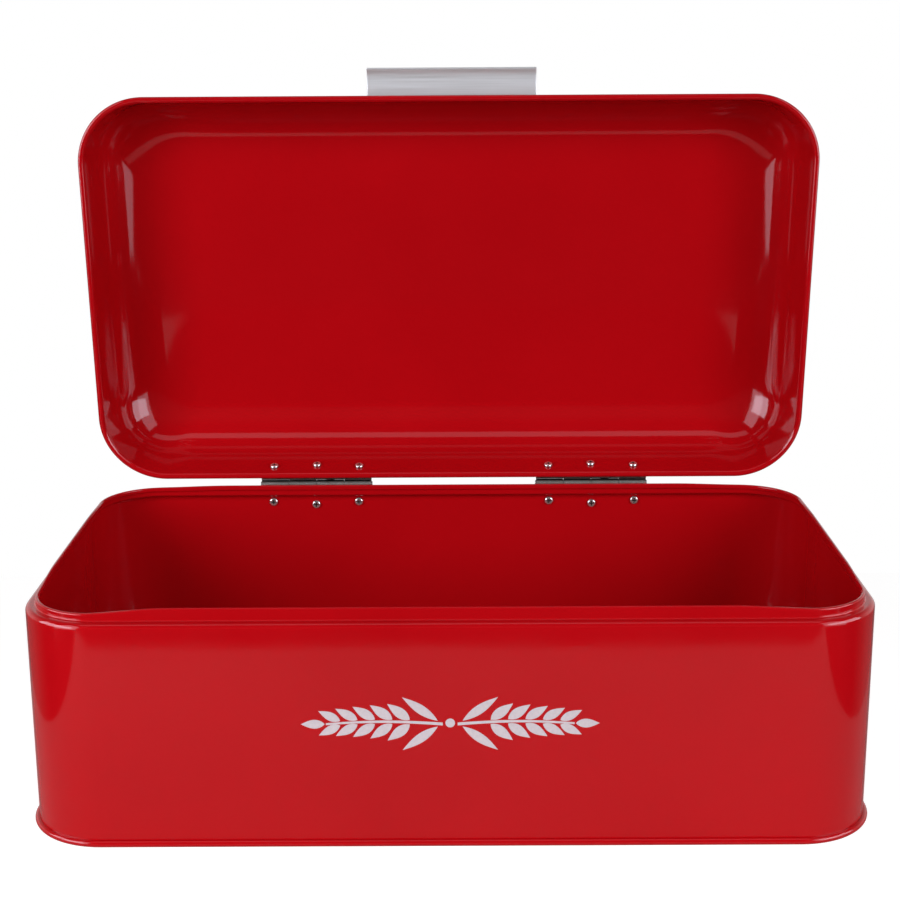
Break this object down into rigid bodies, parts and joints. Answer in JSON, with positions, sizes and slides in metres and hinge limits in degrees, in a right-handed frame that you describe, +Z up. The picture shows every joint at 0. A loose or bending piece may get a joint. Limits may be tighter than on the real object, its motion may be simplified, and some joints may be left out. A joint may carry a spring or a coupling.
{
  "type": "bread box",
  "caption": "Sheet-steel bread box with rounded corners, a rolled base, a necked rim and a deep lid on two rear hinges with an aluminium pull, shown open.",
  "frame": {"origin": "middle of the base, on the surface the box stands on", "axes": "+X to the right along the box, +Y to the back where the hinges are, +Z up"},
  "size_m": [0.4246, 0.276, 0.367],
  "materials": {
    "red_enamel": "gloss red coating",
    "hinge_steel": "plated steel",
    "plated_fasteners": "bright zinc plate",
    "brushed_aluminium": "satin anodised",
    "foam_tape": "matt foam tape"
  },
  "bodies": {
    "box": {"body_wall": "red_enamel", "base_pan": "red_enamel", "left_hinge_body_leaf": "hinge_steel", "left_hinge_pin": "hinge_steel", "left_body_screws": "plated_fasteners", "left_body_nuts": "plated_fasteners", "right_hinge_body_leaf": "hinge_steel", "right_hinge_pin": "hinge_steel", "right_body_screws": "plated_fasteners", "right_body_nuts": "plated_fasteners"},
    "lid": {"lid_shell": "red_enamel", "handle": "brushed_aluminium", "handle_adhesive_strip": "foam_tape", "left_hinge_lid_leaf": "hinge_steel", "left_lid_screws": "plated_fasteners", "left_lid_nuts": "plated_fasteners", "right_hinge_lid_leaf": "hinge_steel", "right_lid_screws": "plated_fasteners", "right_lid_nuts": "plated_fasteners"}
  },
  "joints": [
    {"name": "lid_hinge", "type": "hinge", "parent": "box", "child": "lid", "pos_m": [0, 0.11925, 0.1197], "axis": [1, 0, 0], "range_deg": [0, 84]}
  ]
}
